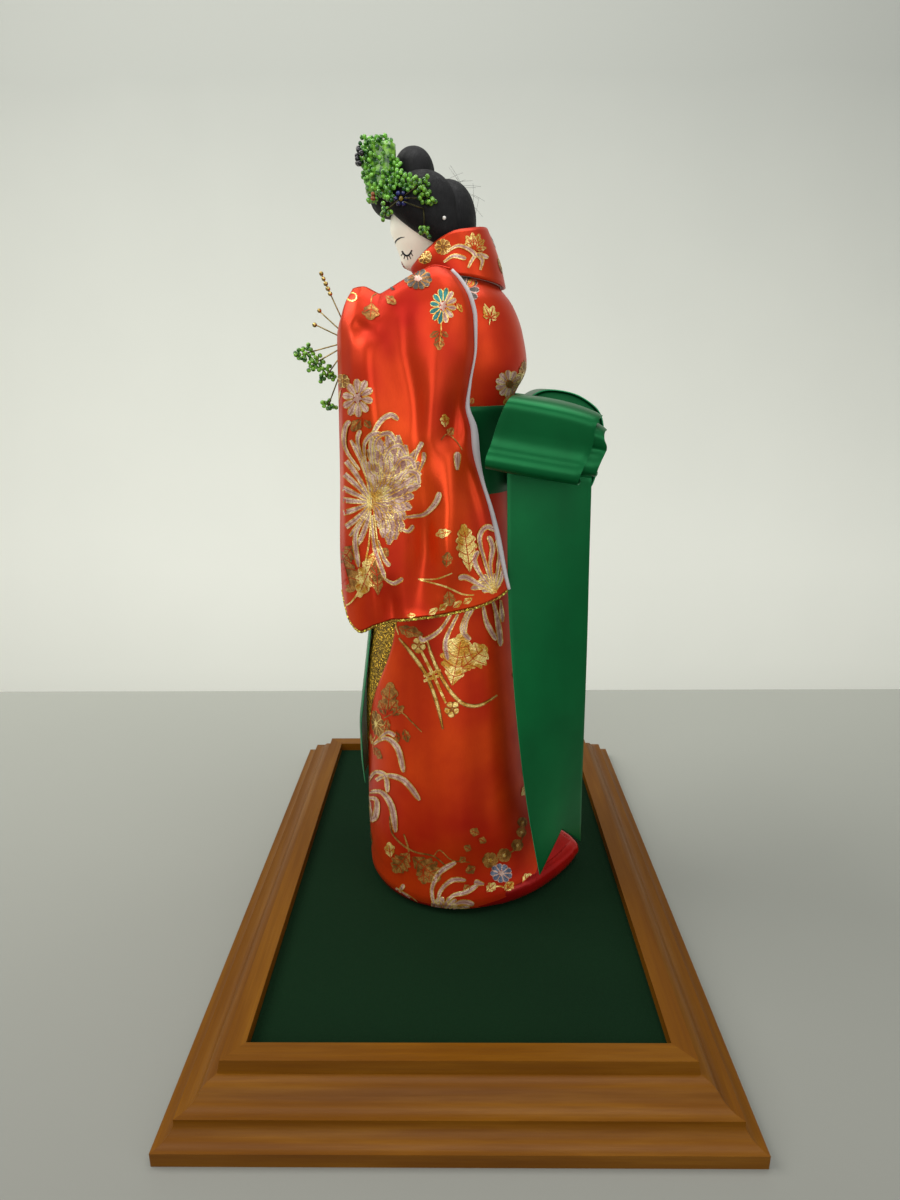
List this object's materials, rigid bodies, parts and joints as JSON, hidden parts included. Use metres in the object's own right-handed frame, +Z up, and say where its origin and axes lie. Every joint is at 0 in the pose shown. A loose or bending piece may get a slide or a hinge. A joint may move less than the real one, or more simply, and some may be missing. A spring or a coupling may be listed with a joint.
{
  "type": "display doll",
  "caption": "Standing geisha doll in an orange-red brocade kimono with a green ribbon obi, on a moulded wooden display base.",
  "frame": {"origin": "middle of the base's underside", "axes": "+Z up, the doll faces -Y and its left is +X; the base's long side runs along X"},
  "size_m": [0.33, 0.24, 0.3967],
  "materials": {
    "brocade": "orange-red satin brocade with metallic flowers",
    "collar_cloth": "orange-red satin with silver and gold sprays",
    "face": "cream painted head",
    "felt": "dark green felt",
    "flower": "dark blue beads round a yellow one",
    "gold_beads": "gold beads",
    "gold_cloth": "gold glitter cloth",
    "gold_cord": "twisted gold cord",
    "green_beads": "green beads",
    "hair": "matte black dressed hair",
    "hem": "deep red padded satin",
    "leaf_beads": "dark green leaf beads",
    "limb": "cream moulded limb",
    "padding": "cotton wadding",
    "panel": "plain plywood",
    "piping": "lilac-grey satin piping",
    "ribbon": "green satin ribbon",
    "steel": "plated threaded rod and nuts",
    "white_cloth": "plain white cotton",
    "wire": "bare bead wire",
    "wood": "golden-brown varnished moulding"
  },
  "bodies": {
    "doll": {"back_rail": "wood", "base_panel": "panel", "corner_blocks": "panel", "felt_sheet": "felt", "front_panel": "gold_cloth", "front_rail": "wood", "front_ribbon": "ribbon", "hem_roll": "hem", "kimono_collar": "collar_cloth", "kimono_skirt": "brocade", "kimono_torso": "brocade", "left_arm": "limb", "left_hand": "limb", "left_inner_loop": "ribbon", "left_lapel": "collar_cloth", "left_obi_tail": "ribbon", "left_outer_loop": "ribbon", "left_rail": "wood", "left_sleeve": "brocade", "left_sleeve_cord": "gold_cord", "left_sleeve_piping": "piping", "lower_core": "padding", "lower_stand_nut": "steel", "obi_band": "ribbon", "obi_drum": "ribbon", "obi_pillow": "padding", "right_arm": "limb", "right_hand": "limb", "right_inner_loop": "ribbon", "right_lapel": "collar_cloth", "right_obi_tail": "ribbon", "right_outer_loop": "ribbon", "right_rail": "wood", "right_sleeve": "brocade", "right_sleeve_cord": "gold_cord", "right_sleeve_piping": "piping", "spray_gold_beads": "gold_beads", "spray_leaf_beads": "leaf_beads", "spray_stems": "wire", "stand_rod": "steel", "torso_core": "padding", "under_collar": "white_cloth", "upper_stand_nut": "steel"},
    "head": {"head": "face", "neck_peg": "steel", "hair_cap": "hair", "hair_back_roll": "hair", "hair_front_roll": "hair", "hair_top_knot": "hair", "left_hair_wing": "hair", "right_hair_wing": "hair", "crown_pad": "hair", "crown_beads": "green_beads", "flower_beads": "flower", "sprig_wires": "wire", "sprig_beads": "leaf_beads", "hairpin": "gold_beads"},
    "dangle": {"dangle_wire": "wire", "dangle_beads": "leaf_beads"}
  },
  "joints": [
    {"name": "head_turn", "type": "hinge", "parent": "doll", "child": "head", "pos_m": [0, -0.007, 0.345], "axis": [0, 0, 1], "range_deg": [-10, 10]},
    {"name": "dangle_swing", "type": "hinge", "parent": "head", "child": "dangle", "pos_m": [0.02349, -0.01343, 0.36462], "axis": [1, 0, 0], "range_deg": [-10, 10]}
  ]
}
